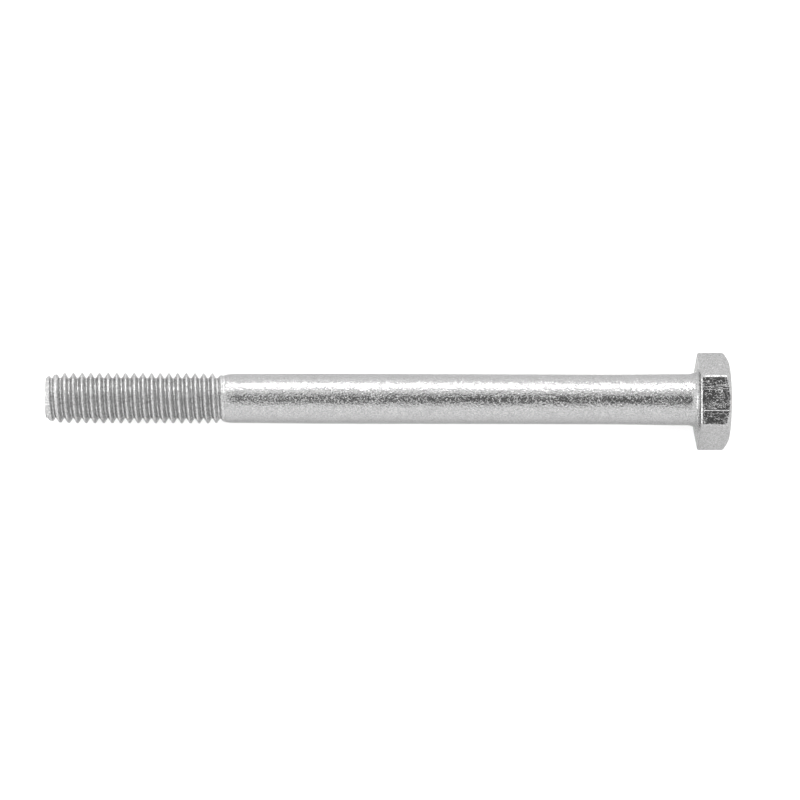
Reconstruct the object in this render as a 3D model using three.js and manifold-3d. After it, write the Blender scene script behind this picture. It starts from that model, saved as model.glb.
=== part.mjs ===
// Hex bolt, M6 x 75 with a plain shank and a rolled right-hand thread, in millimetres.
// The bolt is drawn along +Z, from the top of its head at z = 0 down to its thread tip,
// and is laid down at the end, so that its head points along +X.

import * as THREE from 'three';
import { mergeVertices } from 'three/addons/utils/BufferGeometryUtils.js';
import Module from 'manifold-3d';

const wasm = await Module();
wasm.setup();

const deg = THREE.MathUtils.degToRad;

// Lengths along the bolt
const HEAD_HEIGHT = 3.55;
const LENGTH_UNDER_HEAD = 75;
const TOTAL_LENGTH = HEAD_HEIGHT + LENGTH_UNDER_HEAD;
const THREAD_LENGTH = 20.6;

// Head, and the fillet that leads from its underside into the shank
const ACROSS_FLATS = 9.86;
const CORNER_RADIUS = 0.4;
const CROWN_RADIUS = 4.7;
const CHAMFER_ANGLE = deg(30);
const FILLET_LENGTH = 1.05;
const FILLET_RISE = 0.85;
const FILLET_STEPS = 7;

// Shank: it swells a little towards the head and draws in a little towards the thread
const SHANK_RADIUS = 2.89;
const SWELL_RADIUS = 2.97;
const SWELL_LENGTH = 7;
const DRAWN_RADIUS = 2.84;
const DRAWN_LENGTH = 12;
const SHOULDER_LENGTH = 1.3;
const SHOULDER_STEPS = 4;

// Thread
const PITCH = 1;
const MAJOR_RADIUS = 2.94;
const THREAD_DEPTH = 0.6134 * PITCH;
const CREST_WIDTH = PITCH / 8;
const FLANK_ANGLE = deg(30);
const CREST_TO_TIP = 1.09;

// Run-out of the thread, in distance from the tip: the crest falls and the root rises to
// the radius at which the shank's shoulder begins
const CREST_FALL = { from: 19.3, to: 20.1 };
const ROOT_RISE = { from: 19.9, to: THREAD_LENGTH };
const RUN_OUT_RADIUS = 2.7;

// Lead-in of the thread: radius against distance from the tip
const LEAD_IN = [
  { distance: 0, radius: 2.35 },
  { distance: 0.13, radius: 2.53 },
  { distance: 0.45, radius: 2.66 },
  { distance: 1.2, radius: 2.76 },
  { distance: 2.1, radius: 2.96 },
];

// Facets
const LATHE_SEGMENTS = 64;
const THREAD_SEGMENTS = 32;
const CORNER_SEGMENTS = 4;

// How far a cutting solid reaches past what it cuts, and the screw surface past the thread
const CLEARANCE = 1;
const SPARE_TURNS = 3;

const ZINC_PLATED_STEEL = { color: 0xc4c6c8, metalness: 1, roughness: 0.32 };

function toManifold(geometry) {
  const bare = geometry.clone();
  bare.deleteAttribute('normal');
  bare.deleteAttribute('uv');
  const merged = mergeVertices(bare, 1e-5);
  return new wasm.Manifold(new wasm.Mesh({
    numProp: 3,
    vertProperties: new Float32Array(merged.attributes.position.array),
    triVerts: new Uint32Array(merged.index.array),
  }));
}

function toGeometry(solid) {
  const { vertProperties, triVerts } = solid.getMesh();
  const geometry = new THREE.BufferGeometry();
  geometry.setAttribute('position', new THREE.BufferAttribute(vertProperties, 3));
  geometry.setIndex(new THREE.BufferAttribute(triVerts, 1));
  const faceted = geometry.toNonIndexed();
  faceted.computeVertexNormals();
  return faceted;
}

// A solid of revolution about +Z from [radius, z] points, the first and last on the axis.
function turned(points, segments = LATHE_SEGMENTS) {
  const profile = points.map(([radius, z]) => new THREE.Vector2(radius, z));
  return new THREE.LatheGeometry(profile, segments).rotateX(Math.PI / 2);
}

function hexagon(acrossFlats, cornerRadius) {
  const outline = new THREE.Shape();
  const reach = (acrossFlats / 2 - cornerRadius) / Math.cos(deg(30));
  for (let corner = 0; corner < 6; corner++) {
    const angle = deg(30 + 60 * corner);
    const x = reach * Math.cos(angle);
    const y = reach * Math.sin(angle);
    outline.absarc(x, y, cornerRadius, angle - deg(30), angle + deg(30));
  }
  return outline;
}

// The quarter ellipse from the underside of the head down to the shank, made a little taller
// than its outline so that it joins the head's solid.
function underHeadFillet() {
  const inside = HEAD_HEIGHT / 2;
  const outerRadius = SWELL_RADIUS + FILLET_RISE;
  const points = [[0, inside], [outerRadius, inside]];
  for (let step = 0; step <= FILLET_STEPS; step++) {
    const angle = (Math.PI / 2) * (step / FILLET_STEPS);
    const radius = SWELL_RADIUS + FILLET_RISE * (1 - Math.sin(angle));
    points.push([radius, HEAD_HEIGHT + FILLET_LENGTH * (1 - Math.cos(angle))]);
  }
  points.push([0, HEAD_HEIGHT + FILLET_LENGTH]);
  return turned(points);
}

// A hexagonal prism whose top edge is cut by the crown's chamfer cone, with the fillet below.
function hexHead() {
  const prism = new THREE.ExtrudeGeometry(hexagon(ACROSS_FLATS, CORNER_RADIUS), {
    depth: HEAD_HEIGHT,
    bevelEnabled: false,
    curveSegments: CORNER_SEGMENTS,
  });
  const outside = ACROSS_FLATS / 2 / Math.cos(deg(30)) + CLEARANCE;
  const chamferDepth = (outside - CROWN_RADIUS) * Math.tan(CHAMFER_ANGLE);
  const crown = turned([
    [0, 0],
    [CROWN_RADIUS, 0],
    [outside, chamferDepth],
    [outside, HEAD_HEIGHT + CLEARANCE],
    [0, HEAD_HEIGHT + CLEARANCE],
  ]);
  const chamfered = toManifold(prism).intersect(toManifold(crown));
  return toGeometry(chamfered.add(toManifold(underHeadFillet())));
}

// The plain shank, from the end of the fillet to the shoulder where the thread begins.
function shank() {
  const threadStart = TOTAL_LENGTH - THREAD_LENGTH;
  const points = [
    [0, HEAD_HEIGHT + FILLET_LENGTH],
    [SWELL_RADIUS, HEAD_HEIGHT + FILLET_LENGTH],
    [SHANK_RADIUS, HEAD_HEIGHT + SWELL_LENGTH],
    [SHANK_RADIUS, threadStart - DRAWN_LENGTH],
  ];
  for (let step = 0; step <= SHOULDER_STEPS; step++) {
    const angle = (Math.PI / 2) * (step / SHOULDER_STEPS);
    const radius = RUN_OUT_RADIUS + (DRAWN_RADIUS - RUN_OUT_RADIUS) * Math.cos(angle);
    points.push([radius, threadStart - SHOULDER_LENGTH * (1 - Math.sin(angle))]);
  }
  points.push([0, threadStart]);
  return toGeometry(toManifold(turned(points)));
}

// A crest's or root's radius at a distance from the tip, on its way to the run-out radius.
function withRunOut(radius, distance, { from, to }) {
  const fade = THREE.MathUtils.smoothstep(distance, from, to);
  return THREE.MathUtils.lerp(radius, RUN_OUT_RADIUS, fade);
}

// A closed screw surface about +Z, longer than the thread at both ends. Each turn has four
// rows of points along the helix: the two edges of the crest and the two edges of the root.
function screw() {
  const rootRadius = MAJOR_RADIUS - THREAD_DEPTH;
  const flankWidth = THREAD_DEPTH * Math.tan(FLANK_ANGLE);
  const crest = { radius: MAJOR_RADIUS, runOut: CREST_FALL };
  const root = { radius: rootRadius, runOut: ROOT_RISE };
  const rows = [
    { ...crest, offset: -CREST_WIDTH / 2 },
    { ...crest, offset: CREST_WIDTH / 2 },
    { ...root, offset: CREST_WIDTH / 2 + flankWidth },
    { ...root, offset: PITCH - CREST_WIDTH / 2 - flankWidth },
  ];
  // The crest crosses the +Y side at CREST_TO_TIP, and at every pitch beyond it.
  const crestAtZeroAngle = TOTAL_LENGTH - CREST_TO_TIP - PITCH / 4;
  const turns = Math.ceil(THREAD_LENGTH / PITCH) + 2 * SPARE_TURNS;
  const firstZ = crestAtZeroAngle - (turns - SPARE_TURNS) * PITCH;
  const positions = [];
  const indices = [];
  const rowCount = turns * rows.length;
  for (let row = 0; row < rowCount; row++) {
    const { offset, radius, runOut } = rows[row % rows.length];
    const turn = Math.floor(row / rows.length);
    for (let segment = 0; segment < THREAD_SEGMENTS; segment++) {
      const share = segment / THREAD_SEGMENTS;
      const angle = 2 * Math.PI * share;
      const z = firstZ + (turn + share) * PITCH + offset;
      const r = withRunOut(radius, TOTAL_LENGTH - z, runOut);
      positions.push(r * Math.cos(angle), r * Math.sin(angle), z);
    }
  }
  // Past the last segment a row goes on as the row one turn further along.
  const vertex = (row, segment) => (segment < THREAD_SEGMENTS
    ? row * THREAD_SEGMENTS + segment
    : (row + rows.length) * THREAD_SEGMENTS);
  const lastRow = rowCount - rows.length - 1;
  for (let row = 0; row < lastRow; row++) {
    for (let segment = 0; segment < THREAD_SEGMENTS; segment++) {
      const a = vertex(row, segment);
      const b = vertex(row, segment + 1);
      const c = vertex(row + 1, segment + 1);
      const d = vertex(row + 1, segment);
      indices.push(a, b, c, a, c, d);
    }
  }
  closeEnd(positions, indices, endLoop(0, vertex, rows.length), false);
  closeEnd(positions, indices, endLoop(lastRow, vertex, rows.length), true);
  const geometry = new THREE.BufferGeometry();
  geometry.setAttribute('position', new THREE.Float32BufferAttribute(positions, 3));
  geometry.setIndex(indices);
  return geometry;
}

// The open edge of the screw surface: one row round, then back along the seam.
function endLoop(row, vertex, rowsPerTurn) {
  const loop = [];
  for (let segment = 0; segment < THREAD_SEGMENTS; segment++) {
    loop.push(vertex(row, segment));
  }
  for (let back = rowsPerTurn; back > 0; back--) {
    loop.push(vertex(row + back, 0));
  }
  return loop;
}

// Closes a loop with a fan of triangles to a point on the axis.
function closeEnd(positions, indices, loop, facesUp) {
  const centre = positions.length / 3;
  const height = loop.reduce((sum, index) => sum + positions[3 * index + 2], 0) / loop.length;
  positions.push(0, 0, height);
  for (let i = 0; i < loop.length; i++) {
    const here = loop[i];
    const next = loop[(i + 1) % loop.length];
    indices.push(centre, ...(facesUp ? [here, next] : [next, here]));
  }
}

// The screw surface cut to the rolled blank: flat at the tip with a tapered lead-in.
function thread() {
  const outside = MAJOR_RADIUS + CLEARANCE;
  const threadStart = TOTAL_LENGTH - THREAD_LENGTH;
  const leadIn = LEAD_IN.map(({ distance, radius }) => [radius, TOTAL_LENGTH - distance]);
  const blank = turned([
    [0, threadStart],
    [outside, threadStart],
    [outside, leadIn[leadIn.length - 1][1]],
    ...leadIn.reverse(),
    [0, TOTAL_LENGTH],
  ]);
  return toGeometry(toManifold(screw()).intersect(toManifold(blank)));
}

function addPart(parent, name, geometry) {
  const mesh = new THREE.Mesh(geometry, new THREE.MeshStandardMaterial(ZINC_PLATED_STEEL));
  mesh.name = name;
  parent.add(mesh);
}

const bolt = new THREE.Group();
bolt.name = 'hex_bolt';
addPart(bolt, 'hex_head', hexHead());
addPart(bolt, 'shank', shank());
addPart(bolt, 'thread', thread());

// Lay the bolt down: its own +Z becomes -X, and two flats of the head face up and down.
bolt.rotation.y = -Math.PI / 2;

export default bolt;
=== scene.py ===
"""A zinc-plated M6 hex bolt lying on a white table under a soft studio tent, in metres.

The head points along +X and the thread tip is at the far -X end. Three pieces stand for the
three CAD nodes: the head with its under-head fillet, the plain shank and the rolled thread.
"""

import math

import bmesh
import bpy
from mathutils import Euler, Matrix, Vector, noise


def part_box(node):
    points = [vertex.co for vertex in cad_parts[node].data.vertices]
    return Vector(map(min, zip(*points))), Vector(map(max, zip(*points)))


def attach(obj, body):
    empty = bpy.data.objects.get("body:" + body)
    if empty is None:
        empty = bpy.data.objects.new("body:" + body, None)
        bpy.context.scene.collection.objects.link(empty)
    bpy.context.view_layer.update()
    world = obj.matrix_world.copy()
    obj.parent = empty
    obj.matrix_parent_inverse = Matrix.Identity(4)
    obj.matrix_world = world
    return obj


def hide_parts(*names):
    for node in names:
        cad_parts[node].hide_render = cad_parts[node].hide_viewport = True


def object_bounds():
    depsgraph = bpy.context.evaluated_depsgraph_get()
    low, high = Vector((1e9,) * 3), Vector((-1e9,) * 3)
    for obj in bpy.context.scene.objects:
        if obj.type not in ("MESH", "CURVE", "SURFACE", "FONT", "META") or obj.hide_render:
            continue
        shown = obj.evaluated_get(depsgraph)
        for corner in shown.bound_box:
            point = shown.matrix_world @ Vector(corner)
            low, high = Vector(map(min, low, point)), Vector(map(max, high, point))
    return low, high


MM = 0.001

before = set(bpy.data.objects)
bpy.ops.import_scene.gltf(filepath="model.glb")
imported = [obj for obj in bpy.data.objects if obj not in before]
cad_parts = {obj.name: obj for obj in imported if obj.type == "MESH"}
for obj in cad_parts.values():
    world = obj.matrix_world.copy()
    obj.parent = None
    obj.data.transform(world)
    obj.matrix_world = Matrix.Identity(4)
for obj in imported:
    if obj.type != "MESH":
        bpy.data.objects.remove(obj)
cad_low, cad_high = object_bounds()
head_low, head_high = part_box("hex_head")
shank_low, shank_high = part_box("shank")
thread_low, thread_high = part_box("thread")

# Head
FLAT_DISTANCE = head_high.z
CORNER_RADIUS = 0.36 * MM
CORNER_FLATNESS = 0.2  # 0 for a round corner, 1 for one cut straight across
CROWN_RADIUS = 4.7 * MM
CHAMFER_SLOPE = math.tan(math.radians(30))
UNDERSIDE_X = -3.55 * MM
HEAD_OFFSET = 0.19 * MM  # how far the head was struck off the axis of the shank
FILLET_RISE = 0.85 * MM

# Shank
SWELL_RADIUS = shank_high.z
SHANK_RADIUS = 2.89 * MM
DRAWN_RADIUS = 2.84 * MM
SWELL_X = -14.5 * MM
DRAWN_LENGTH = 12 * MM
SHOULDER_LENGTH = 1.3 * MM

# Thread
PITCH = 1 * MM
MAJOR_RADIUS = thread_high.z
THREAD_DEPTH = 0.6134 * PITCH
RUN_OUT_RADIUS = 2.7 * MM
CREST_TO_TIP = 1.09 * MM
CREST_FALL = (19.3 * MM, 20.1 * MM)
ROOT_RISE = (19.9 * MM, 20.6 * MM)
CREST_UNEVENNESS = 0.06 * MM
CREST_WAVE = 0.7 * MM  # length over which the crests' height wavers

# Taper at the tip, as (distance from the tip, radius) in millimetres, and the height over
# which the crests blend into it
LEAD_IN = ((0, 2.35), (0.13, 2.53), (0.45, 2.66), (1.2, 2.76), (2.1, 2.96))
LEAD_IN_BLEND = 0.05 * MM


# ---------------------------------------------------------------- shape helpers


def smoothstep(value, start, end):
    t = min(max((value - start) / (end - start), 0), 1)
    return t * t * (3 - 2 * t)


def mix(a, b, t):
    return a + (b - a) * t


def soft_minimum(a, b, width):
    """The lower of a and b, rounded where they meet."""
    t = max(width - abs(a - b), 0) / width
    return min(a, b) - t * t * width / 4


def rounded_corner(start, corner, end, steps):
    """Points along the curve from start to end that rounds off the corner."""
    points = []
    for step in range(steps + 1):
        t = step / steps
        points.append(start.lerp(corner, t).lerp(corner.lerp(end, t), t))
    return points


def skin_rings(mesh, rings):
    """Joins rings of equal length by quads, one ring after another."""
    for ring, following in zip(rings, rings[1:]):
        count = len(ring)
        for i in range(count):
            j = (i + 1) % count
            mesh.faces.new((ring[i], ring[j], following[j], following[i]))


def cap(mesh, ring, centre, flipped):
    """Closes a ring with a fan to a point at its centre."""
    middle = mesh.verts.new(centre)
    count = len(ring)
    for i in range(count):
        pair = (ring[i], ring[(i + 1) % count])
        mesh.faces.new((middle, *(reversed(pair) if flipped else pair)))


def finished_object(name, mesh, sharp_degrees=40):
    """The bmesh as a smooth object whose edges stay crisp above the given angle."""
    bmesh.ops.recalc_face_normals(mesh, faces=mesh.faces)
    for face in mesh.faces:
        face.smooth = True
    for edge in mesh.edges:
        edge.smooth = edge.calc_face_angle(0) < math.radians(sharp_degrees)
    data = bpy.data.meshes.new(name)
    mesh.to_mesh(data)
    mesh.free()
    piece = bpy.data.objects.new(name, data)
    bpy.context.scene.collection.objects.link(piece)
    weighted = piece.modifiers.new("weighted_normals", "WEIGHTED_NORMAL")
    weighted.keep_sharp = True
    return piece


# ---------------------------------------------------------------- head


# Lines scored along the upper flat by the trimming die: (y, from x, to x) in millimetres,
# and how deep each is next to the deepest.
SCORES = (
    (1.67, -2.9, -1.1, 0.6),
    (0.53, -2.4, -0.9, 0.45),
    (-0.31, -2.1, -1.2, 0.5),
    (-1.13, -3.45, -0.2, 1),
    (-1.48, -2.7, -0.4, 0.55),
    (-1.78, -3.0, -1.2, 0.4),
    (-2.08, -2.4, -0.7, 0.5),
)
SCORE_HALF_WIDTH = 0.06 * MM
SCORE_DEPTH = 0.026 * MM


def score_depth(place):
    """How deep the upper flat is scored at this place."""
    fade = 0.3  # millimetres over which a line begins and ends
    depth = 0
    for y, first_x, last_x, strength in SCORES:
        across = max(1 - abs(place.y - y * MM) / SCORE_HALF_WIDTH, 0)
        along = smoothstep(place.x, first_x * MM, (first_x + fade) * MM)
        along *= smoothstep(-place.x, -last_x * MM, -(last_x - fade) * MM)
        depth = max(depth, across * along * strength * SCORE_DEPTH)
    return depth


def hexagon_outline():
    """Points round the hexagon with its rounded corners, as (y, z)."""
    flat_steps, corner_steps = 20, 10
    level = 1e-6 * MM
    reach = (FLAT_DISTANCE - CORNER_RADIUS) / math.cos(math.radians(30))
    outline = []
    for corner in range(6):
        middle = math.radians(60 * corner)
        centre = Vector((math.cos(middle), math.sin(middle))) * reach
        for step in range(corner_steps + 1):
            angle = middle + math.radians(60 * step / corner_steps - 30)
            direction = Vector((math.cos(angle), math.sin(angle)))
            chord = CORNER_RADIUS * math.cos(math.radians(30)) / math.cos(angle - middle)
            outline.append(centre + direction * mix(CORNER_RADIUS, chord, CORNER_FLATNESS))
        following = middle + math.radians(60)
        next_centre = Vector((math.cos(following), math.sin(following))) * reach
        normal = middle + math.radians(30)
        offset = Vector((math.cos(normal), math.sin(normal))) * CORNER_RADIUS
        start, end = centre + offset, next_centre + offset
        shares = [step / flat_steps for step in range(1, flat_steps)]
        on_upper_flat = abs(start.y - end.y) < level and start.y > 0
        if on_upper_flat:
            edges = [
                score[0] * MM + side * SCORE_HALF_WIDTH for score in SCORES for side in (-1, 0, 1)
            ]
            shares += [(start.x - edge) / (start.x - end.x) for edge in edges]
        outline += [start.lerp(end, share) for share in sorted(shares)]
    return outline


def head_profile(reach):
    """(x, radius) points from the crown down to the underside and along the fillet, where
    the side of the head is this far from the axis."""
    crown_round = 0.12 * MM
    chamfer_round, side_round = 0.16 * MM, 0.3 * MM
    bevel = 0.13 * MM
    bevel_round = 0.03 * MM
    chamfer_x = -(reach - CROWN_RADIUS) * CHAMFER_SLOPE
    slant = Vector((chamfer_x, reach - CROWN_RADIUS))
    crown_edge = Vector((0, CROWN_RADIUS))
    side_edge = Vector((chamfer_x, reach))
    lower_edge = Vector((UNDERSIDE_X, reach))
    down_chamfer = slant.normalized()
    # The chamfer's two roundings never meet, however short it is.
    longest = slant.length * 0.45
    on_chamfer = min(chamfer_round, longest)
    in_crown = min(crown_round, longest)
    fillet_start = SWELL_RADIUS + FILLET_RISE

    profile = [Vector((0, CROWN_RADIUS * share)) for share in (0.3, 0.6, 0.85)]
    profile += rounded_corner(
        crown_edge - Vector((0, crown_round)),
        crown_edge,
        crown_edge + down_chamfer * in_crown,
        8,
    )
    side_start = side_edge - Vector((side_round, 0))
    profile += rounded_corner(side_edge - down_chamfer * on_chamfer, side_edge, side_start, 10)
    side_steps = 24
    side_end = lower_edge + Vector((bevel + bevel_round, 0))
    for step in range(1, side_steps):
        profile.append(side_start.lerp(side_end, step / side_steps))
    in_bevel = Vector((-bevel_round, -bevel_round))
    outer = lower_edge + Vector((bevel, 0))
    profile += rounded_corner(side_end, outer, outer + in_bevel, 4)
    inner = lower_edge - Vector((0, bevel))
    profile += rounded_corner(inner - in_bevel, inner, inner - Vector((0, bevel_round)), 4)
    for share in (0.35, 0.7):
        profile.append(Vector((UNDERSIDE_X, mix(reach, fillet_start, share))))
    fillet_steps = 18
    fillet_length = UNDERSIDE_X - head_low.x
    for step in range(fillet_steps + 1):
        angle = math.pi / 2 * step / fillet_steps
        radius = SWELL_RADIUS + FILLET_RISE * (1 - math.sin(angle))
        profile.append(Vector((UNDERSIDE_X - fillet_length * (1 - math.cos(angle)), radius)))
    return profile


def hex_head():
    mesh = bmesh.new()
    margin = 0.01 * MM
    fillet_edge = SWELL_RADIUS + FILLET_RISE
    columns = []
    for y, z in hexagon_outline():
        reach = math.hypot(y, z)
        column = []
        for x, radius in head_profile(reach):
            place = Vector((x, y / reach * radius, z / reach * radius))
            if place.z > FLAT_DISTANCE - margin:
                place.z -= score_depth(place)
            place.y -= HEAD_OFFSET * smoothstep(radius, SWELL_RADIUS, fillet_edge)
            column.append(mesh.verts.new(place))
        columns.append(column)
    rings = [list(ring) for ring in zip(*columns)]
    skin_rings(mesh, rings)
    cap(mesh, rings[0], Vector((0, 0, 0)), flipped=False)
    cap(mesh, rings[-1], Vector((head_low.x, 0, 0)), flipped=True)
    return finished_object("hex_head_forging", mesh, sharp_degrees=16)


# ---------------------------------------------------------------- shank


def shank_profile():
    """(x, radius) points from the fillet to the shoulder at the thread."""
    profile = []
    swell_steps, plain_steps, drawn_steps, shoulder_steps = 14, 32, 14, 10
    for step in range(swell_steps):
        # The start before 0 lets the swell fall from the first step on.
        t = step / swell_steps
        radius = mix(SWELL_RADIUS, SHANK_RADIUS, smoothstep(t, -0.1, 1))
        profile.append((mix(shank_high.x, SWELL_X, t), radius))
    drawn_x = shank_low.x + DRAWN_LENGTH
    for step in range(plain_steps):
        profile.append((mix(SWELL_X, drawn_x, step / plain_steps), SHANK_RADIUS))
    for step in range(drawn_steps):
        t = step / drawn_steps
        radius = mix(SHANK_RADIUS, DRAWN_RADIUS, smoothstep(t, 0, 1))
        profile.append((mix(drawn_x, shank_low.x + SHOULDER_LENGTH, t), radius))
    for step in range(shoulder_steps + 1):
        angle = math.pi / 2 * step / shoulder_steps
        radius = RUN_OUT_RADIUS + (DRAWN_RADIUS - RUN_OUT_RADIUS) * math.cos(angle)
        profile.append((shank_low.x + SHOULDER_LENGTH * (1 - math.sin(angle)), radius))
    return profile


def shank():
    segments = 128
    mesh = bmesh.new()
    rings = []
    for x, radius in shank_profile():
        ring = []
        for segment in range(segments):
            angle = 2 * math.pi * segment / segments
            ring.append(mesh.verts.new((x, radius * math.cos(angle), radius * math.sin(angle))))
        rings.append(ring)
    skin_rings(mesh, rings)
    cap(mesh, rings[0], Vector((shank_high.x, 0, 0)), flipped=False)
    cap(mesh, rings[-1], Vector((shank_low.x, 0, 0)), flipped=True)
    return finished_object("plain_shank", mesh)


# ---------------------------------------------------------------- thread


def thread_form():
    """(offset, depth) points over one pitch, from crest to crest: a rounded crest with a
    shallow rolling seam along its middle, straight flanks and a rounded root."""
    flank_slope = math.tan(math.radians(60))
    crest_radius = 0.125 * MM
    seam_depth = 0.014 * MM
    root_round = 0.11 * MM
    # The flanks would meet at an apex above the crest line, and the arc's top lies its own
    # radius under that apex.
    apex = PITCH / 16 * flank_slope
    crest_drop = crest_radius - apex
    half_root = PITCH / 12
    form = [(0, crest_drop + seam_depth)]
    for degrees in (18, 32, 46, 60):
        angle = math.radians(degrees)
        depth = crest_drop + crest_radius * (1 - math.cos(angle))
        form.append((crest_radius * math.sin(angle), depth))
    crest = Vector(form[-1])
    root = Vector((PITCH / 2 - half_root, THREAD_DEPTH))
    flank = (root - crest).normalized()
    form += [tuple(crest.lerp(root, share)) for share in (0.35, 0.65)]
    middle = Vector((PITCH / 2, THREAD_DEPTH))
    form += [tuple(p) for p in rounded_corner(root - flank * root_round, root, middle, 4)]
    mirrored = [(PITCH - offset, depth) for offset, depth in reversed(form[1:-1])]
    return form + mirrored


def lead_in_radius(distance):
    """Radius of the tapered blank at a distance from the tip."""
    for (start, low), (end, high) in zip(LEAD_IN, LEAD_IN[1:]):
        if distance <= end * MM:
            return mix(low, high, max(distance / MM - start, 0) / (end - start)) * MM
    return MAJOR_RADIUS + LEAD_IN_BLEND


def thread_radius(depth, distance):
    """Radius of the thread surface, this deep under the crest and this far from the tip."""
    crest = mix(MAJOR_RADIUS, RUN_OUT_RADIUS, smoothstep(distance, *CREST_FALL))
    root = mix(MAJOR_RADIUS - THREAD_DEPTH, RUN_OUT_RADIUS, smoothstep(distance, *ROOT_RISE))
    radius = mix(crest, root, depth / THREAD_DEPTH)
    return soft_minimum(radius, lead_in_radius(distance), LEAD_IN_BLEND)


def crest_dip(place, depth, distance):
    """How far the uneven crests fall short at this place. The dip fades down the flanks and
    into the run-out."""
    uneven = abs(noise.noise(place / CREST_WAVE)) * CREST_UNEVENNESS
    return uneven * (1 - depth / THREAD_DEPTH) * (1 - smoothstep(distance, *CREST_FALL))


def cut_end(mesh, x, outward):
    """Cuts the thread off square at x and closes it. outward is the side that goes, -1 or 1."""
    cut = bmesh.ops.bisect_plane(
        mesh,
        geom=list(mesh.verts) + list(mesh.edges) + list(mesh.faces),
        dist=1e-7,
        plane_co=(x, 0, 0),
        plane_no=(outward, 0, 0),
        clear_outer=True,
    )
    rim = [item for item in cut["geom_cut"] if isinstance(item, bmesh.types.BMEdge)]
    middle = mesh.verts.new((x, 0, 0))
    for edge in rim:
        mesh.faces.new((edge.verts[0], edge.verts[1], middle))


def thread():
    segments = 96
    form = thread_form()
    spare_turns = 2
    turns = math.ceil((thread_high.x - thread_low.x) / PITCH) + 2 * spare_turns
    crest_x = thread_low.x + CREST_TO_TIP - spare_turns * PITCH
    mesh = bmesh.new()
    rows = []
    for turn in range(turns):
        for offset, depth in form:
            row = []
            for segment in range(segments):
                share = segment / segments
                angle = 2 * math.pi * share
                x = crest_x + (turn + share) * PITCH + offset - PITCH
                distance = max(x - thread_low.x, 0)
                radius = thread_radius(depth, distance)
                outward = Vector((0, math.cos(angle), math.sin(angle)))
                place = Vector((x, 0, 0)) + outward * radius
                row.append(mesh.verts.new(place - outward * crest_dip(place, depth, distance)))
            rows.append(row)
    # A row's last point joins the first point of the same row one turn on.
    for index in range(len(rows) - len(form) - 1):
        row = rows[index] + rows[index + len(form)][:1]
        following = rows[index + 1] + rows[index + len(form) + 1][:1]
        for i in range(segments):
            mesh.faces.new((row[i], row[i + 1], following[i + 1], following[i]))
    cut_end(mesh, thread_low.x, -1)
    cut_end(mesh, thread_high.x, 1)
    loose = [vert for vert in mesh.verts if not vert.link_faces]
    bmesh.ops.delete(mesh, geom=loose, context="VERTS")
    bmesh.ops.remove_doubles(mesh, verts=mesh.verts, dist=1e-6)
    return finished_object("rolled_thread", mesh)


# ---------------------------------------------------------------- materials


class Nodes:
    """A short way to add and join nodes of one material."""

    def __init__(self, tree):
        self.tree = tree

    def add(self, kind, inputs=None, **settings):
        node = self.tree.nodes.new(kind)
        for name, value in settings.items():
            setattr(node, name, value)
        for name, value in (inputs or {}).items():
            socket = node.inputs[name]
            if isinstance(value, bpy.types.NodeSocket):
                self.tree.links.new(value, socket)
            else:
                socket.default_value = value
        return node

    def remap(self, value, low, high, new_low, new_high, smooth=False):
        """Carries low..high over to new_low..new_high, and holds the ends beyond them."""
        limits = {1: low, 2: high, 3: new_low, 4: new_high}
        steepness = "SMOOTHSTEP" if smooth else "LINEAR"
        node = self.add("ShaderNodeMapRange", {0: value, **limits}, interpolation_type=steepness)
        return node.outputs[0]

    def math(self, operation, first, second=0.0):
        return self.add("ShaderNodeMath", {0: first, 1: second}, operation=operation).outputs[0]

    def noise(self, place, scale, detail=3, roughness=0.55):
        """Soft noise with about this many cells to the millimetre."""
        inputs = {"Vector": place, "Scale": scale, "Detail": detail, "Roughness": roughness}
        return self.add("ShaderNodeTexNoise", inputs).outputs["Fac"]

    def scaled(self, place, factors):
        """The place scaled along each axis. A pattern on it is drawn out where a factor is low."""
        inputs = {0: place, 1: factors}
        return self.add("ShaderNodeVectorMath", inputs, operation="MULTIPLY").outputs[0]

    def bump(self, height, millimetres, normal=None):
        inputs = {"Height": height, "Strength": 1, "Distance": millimetres * MM}
        if normal:
            inputs["Normal"] = normal
        return self.add("ShaderNodeBump", inputs).outputs[0]


# The zinc's own lightness. The lights are divided by it, so that the bolt stays as bright
# and the white table is overexposed to plain white.
BASE = 0.27

# Nearly all of a noise's values lie between these.
NOISE_LOW, NOISE_HIGH = 0.3, 0.7


def zinc_plate(name, base, roughness, metallic, speckle, tint):
    """A bright zinc plate with cloudy colour and gloss. speckle is the share by which fine
    grain lightens and darkens it, and a low tint darkens it at grazing angles. Returns
    (material, nodes, shader, place), where place is the position in millimetres."""
    material = bpy.data.materials.new(name)
    material.use_nodes = True
    nodes = Nodes(material.node_tree)
    shader = material.node_tree.nodes["Principled BSDF"]
    shader.inputs["Metallic"].default_value = metallic
    shader.inputs["Specular Tint"].default_value = (tint, tint, tint, 1)
    place = nodes.add("ShaderNodeTexCoord").outputs["Object"]
    place = nodes.scaled(place, (1 / MM, 1 / MM, 1 / MM))
    cloud = nodes.noise(place, 0.9, detail=5, roughness=0.65)
    fine = nodes.noise(place, 5.6, detail=1)
    cloudy = nodes.remap(cloud, NOISE_LOW, NOISE_HIGH, base * 0.95, base * 1.05)
    speckled = nodes.remap(fine, NOISE_LOW, NOISE_HIGH, 1 - speckle, 1 + speckle)
    shade = nodes.math("MULTIPLY", cloudy, speckled)
    nodes.tree.links.new(shade, shader.inputs["Base Color"])
    gloss = nodes.remap(cloud, NOISE_LOW, NOISE_HIGH, roughness * 1.12, roughness * 0.88)
    nodes.tree.links.new(gloss, shader.inputs["Roughness"])
    return material, nodes, shader, place


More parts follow.
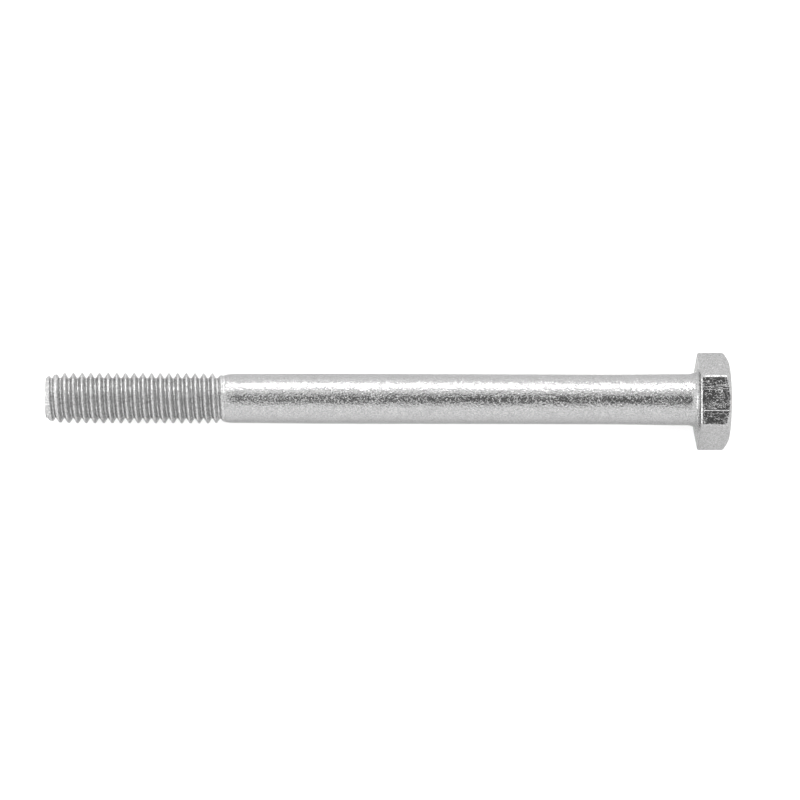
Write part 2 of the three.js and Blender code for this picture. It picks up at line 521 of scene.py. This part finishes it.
def grainy_zinc(name, cells, height, metallic, base, speckle, tint):
    """Zinc over a surface left by forging or rolling: a fine irregular grain with this many
    cells per millimetre and this bump height in millimetres, stronger in some patches, and
    sparse small pits."""
    roughness = 0.11
    pit_height = 0.03
    material, nodes, shader, place = zinc_plate(name, base, roughness, metallic, speckle, tint)
    grain = nodes.noise(place, cells, detail=2, roughness=0.6)
    patches = nodes.remap(nodes.noise(place, 0.35, detail=2), 0.35, 0.65, 0.75, 1.15)
    relief = nodes.math("MULTIPLY", grain, patches)
    pits = nodes.remap(nodes.noise(place, cells * 1.2, detail=1), 0.58, 0.68, 0, 1, smooth=True)
    normal = nodes.bump(relief, height)
    normal = nodes.bump(pits, pit_height, normal)
    nodes.tree.links.new(normal, shader.inputs["Normal"])
    return material


def trimmed_zinc(name):
    """Zinc over the sheared sides of the head: smooth cells parted by thin raised lines, and
    long scratches that the trimming die drew along the bolt."""
    grain_height, pit_height, line_height, scratch_height = 0.01, 0.013, 0.007, 0.01
    material, nodes, shader, place = zinc_plate(
        name, base=BASE, roughness=0.14, metallic=0.95, speckle=0.26, tint=0.66
    )
    cells = nodes.add(
        "ShaderNodeTexVoronoi",
        {"Vector": nodes.scaled(place, (0.55, 1, 1)), "Scale": 5.0, "Randomness": 1},
        feature="DISTANCE_TO_EDGE",
    ).outputs["Distance"]
    lines = nodes.remap(cells, 0, 0.1, 1, 0, smooth=True)
    strength = nodes.remap(nodes.noise(place, 1.3, detail=2), 0.42, 0.62, 0, 1)
    lines = nodes.math("MULTIPLY", lines, strength)

    drawn = nodes.noise(nodes.scaled(place, (0.08, 1, 1)), 3.4, detail=3, roughness=0.6)
    off_line = nodes.math("ABSOLUTE", nodes.math("SUBTRACT", drawn, 0.5))
    scratches = nodes.remap(off_line, 0, 0.03, 1, 0, smooth=True)
    streaks = nodes.noise(nodes.scaled(place, (0.35, 1, 1)), 1.1, detail=1)
    scratches = nodes.math("MULTIPLY", scratches, nodes.remap(streaks, 0.53, 0.62, 0, 1))

    grain = nodes.noise(place, 6, detail=3, roughness=0.6)
    pits = nodes.remap(nodes.noise(place, 6, detail=1), 0.62, 0.7, 0, 1, smooth=True)
    normal = nodes.bump(grain, grain_height)
    normal = nodes.bump(pits, pit_height, normal)
    normal = nodes.bump(lines, line_height, normal)
    normal = nodes.bump(scratches, scratch_height, normal)
    nodes.tree.links.new(normal, shader.inputs["Normal"])
    return material


# ---------------------------------------------------------------- pieces


def place_piece(piece, node, slot_name, *materials):
    for material in materials:
        piece.data.materials.append(material)
    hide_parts(node)
    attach(piece, "root")
    return piece


forged = grainy_zinc(
    "forged_zinc", cells=4.2, height=0.062, metallic=0.9, base=BASE, speckle=0.13, tint=0.68
)
trimmed = trimmed_zinc("trimmed_zinc")
rolled = grainy_zinc(
    "rolled_zinc", cells=3.6, height=0.13, metallic=0.68, base=0.33, speckle=0.36, tint=0.42
)

head = place_piece(hex_head(), "hex_head", "head_zinc", forged, trimmed, rolled)
on_forged, on_trimmed, on_rolled = 0, 1, 2  # the order of the head's materials
for face in head.data.polygons:
    on_side = UNDERSIDE_X < face.center.x and abs(face.normal.x) < 0.5
    on_underside = face.center.x < UNDERSIDE_X / 2 and face.normal.x < -0.75
    face.material_index = on_trimmed if on_side else on_rolled if on_underside else on_forged
place_piece(shank(), "shank", "shank_zinc", forged)
place_piece(thread(), "thread", "thread_zinc", rolled)


# ---------------------------------------------------------------- table, light and camera


def matt_material(name, grey):
    material = bpy.data.materials.new(name)
    material.use_nodes = True
    shader = material.node_tree.nodes["Principled BSDF"]
    shader.inputs["Base Color"].default_value = (grey, grey, grey, 1)
    shader.inputs["Roughness"].default_value = 1
    shader.inputs["Specular IOR Level"].default_value = 0
    return material


def level_sheet(name, centre, reach, sides, material):
    """A level sheet with this many equal sides, whose corners are this far from its centre."""
    mesh = bmesh.new()
    turns = [2 * math.pi * (side + 0.5) / sides for side in range(sides)]
    corners = [(reach * math.cos(turn), reach * math.sin(turn), 0) for turn in turns]
    mesh.faces.new([mesh.verts.new(corner) for corner in corners])
    data = bpy.data.meshes.new(name)
    mesh.to_mesh(data)
    mesh.free()
    data.materials.append(material)
    thing = bpy.data.objects.new(name, data)
    thing.location = centre
    bpy.context.scene.collection.objects.link(thing)
    return thing


# The bolt rests on a flat of its head and on its thread's crests, so the table leans.
rest_drop = FLAT_DISTANCE - MAJOR_RADIUS
lean = math.atan2(rest_drop, UNDERSIDE_X / 2 - thread_low.x)
table_width = 3
table_reach = table_width / math.sqrt(2)
white_table = matt_material("white_table", 0.93)
table = level_sheet("table", (0, 0, -FLAT_DISTANCE), table_reach, 4, white_table)
table.rotation_euler = Euler((0, lean, 0))

world = bpy.data.worlds.new("tent")
world.use_nodes = True
world.node_tree.nodes["Background"].inputs["Color"].default_value = (1, 1, 1, 1)
world.node_tree.nodes["Background"].inputs["Strength"].default_value = 0.6 / BASE
bpy.context.scene.world = world

middle = Vector(((cad_low.x + cad_high.x) / 2, 0, 0))


def soft_light(name, bearing, elevation, size, radiance):
    """A soft rectangular light that faces the bolt's middle. bearing and elevation are in
    degrees, from +X towards +Y and up from the table."""
    distance = 0.6
    bearing, elevation = math.radians(bearing), math.radians(elevation)
    level = math.cos(elevation)
    towards = Vector((math.cos(bearing) * level, math.sin(bearing) * level, math.sin(elevation)))
    data = bpy.data.lights.new(name, "AREA")
    data.shape = "RECTANGLE"
    data.size, data.size_y = size
    data.energy = radiance * math.pi * data.size * data.size_y
    light = bpy.data.objects.new(name, data)
    light.location = middle + towards * distance
    light.rotation_euler = towards.to_track_quat("Z", "Y").to_euler()
    bpy.context.scene.collection.objects.link(light)
    return light


soft_light("key_strip", bearing=90, elevation=28, size=(0.7, 0.075), radiance=4.3 / BASE)
soft_light("end_card", bearing=180, elevation=6, size=(0.26, 0.15), radiance=2 / BASE)

# The round gap in the top of the tent, just above the camera. Its dark reflection lies along
# the shank.
dark_room = matt_material("dark_room", 0.07)
level_sheet("camera_gap", (0.03, -0.02, 0.42), 0.2, 64, dark_room)

# The camera looks straight down on the bolt, but for a small lean towards the tip and
# towards -Y, and is turned a little about its own axis.
camera_data = bpy.data.cameras.new("camera")
camera_data.sensor_width = 36
camera_data.lens = 146.33
camera_distance = 0.375
aim = Vector((-37.83 * MM, -0.133 * MM, 0))
lean_along, lean_across, roll = math.radians(-0.76), math.radians(-1.1), math.radians(0.15)
back = Vector((math.sin(lean_along), math.sin(lean_across), 1)).normalized()
right = Vector((-math.sin(roll), math.cos(roll), 0)).cross(back).normalized()
up = back.cross(right)
turned = Matrix((right, up, back)).transposed().to_4x4()
camera = bpy.data.objects.new("camera", camera_data)
camera.matrix_world = Matrix.Translation(aim + back * camera_distance) @ turned
bpy.context.scene.collection.objects.link(camera)
bpy.context.scene.camera = camera

bpy.context.scene.view_settings.view_transform = "Standard"
